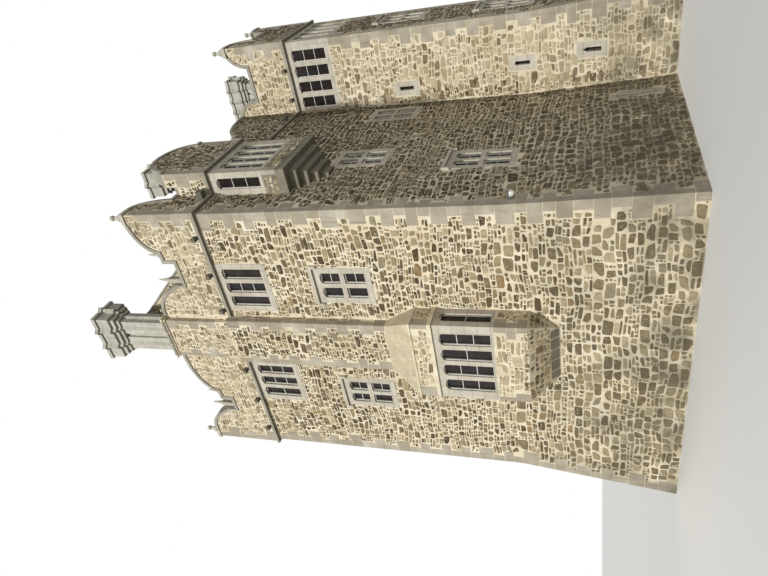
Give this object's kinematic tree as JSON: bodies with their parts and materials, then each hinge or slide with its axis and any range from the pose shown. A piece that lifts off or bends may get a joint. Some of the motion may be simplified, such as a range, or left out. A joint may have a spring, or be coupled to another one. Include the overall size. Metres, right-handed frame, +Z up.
{
  "type": "castle keep",
  "caption": "Rubble tower-house keep with a corner turret, curved gabled parapets, star-plan chimneys, oriel windows and mullioned windows.",
  "frame": {"origin": "centre of the main block at ground level, on the underside of the ground floor", "axes": "+Z up; the front with the chimney breast faces -Y and the turret stands on the +X side"},
  "size_m": [13.215, 15.82, 20.12],
  "materials": {
    "rubble_stone": "lime-mortared rubble",
    "dressed_stone": "dressed limestone",
    "floor_stone": "worn flags",
    "floor_timber": "aged boards on beams",
    "roof_slate": "slate",
    "window_glass": "clear"
  },
  "bodies": {
    "root": {"ground_floor": "floor_stone", "first_floor": "floor_timber", "second_floor": "floor_timber", "third_floor": "floor_timber", "attic_floor": "floor_stone", "front_wall": "rubble_stone", "east_wall": "rubble_stone", "west_wall": "rubble_stone", "rear_wall": "rubble_stone", "turret_front_wall": "rubble_stone", "turret_east_wall": "rubble_stone", "turret_rear_wall": "rubble_stone", "turret_floors": "floor_stone", "string_course": "dressed_stone", "front_parapet": "rubble_stone", "east_parapet": "rubble_stone", "west_parapet": "rubble_stone", "rear_parapet": "rubble_stone", "turret_parapet": "rubble_stone", "parapet_coping": "dressed_stone", "finials": "dressed_stone", "spouts": "dressed_stone", "roof_slopes": "roof_slate", "roof_gables": "rubble_stone", "chimney_breast": "rubble_stone", "front_chimney": "dressed_stone", "east_chimney": "dressed_stone", "rear_chimney": "dressed_stone", "chimney_caps": "dressed_stone", "front_oriel_corbel": "rubble_stone", "front_oriel_window": "dressed_stone", "front_oriel_head": "rubble_stone", "front_oriel_roof": "dressed_stone", "east_oriel_corbel": "dressed_stone", "east_oriel_window": "dressed_stone", "east_oriel_gable": "rubble_stone", "front_windows": "dressed_stone", "east_windows": "dressed_stone", "west_windows": "dressed_stone", "rear_windows": "dressed_stone", "turret_windows": "dressed_stone", "hood_moulds": "dressed_stone", "lower_glass": "window_glass", "second_glass": "window_glass", "third_glass": "window_glass"}
  },
  "joints": []
}
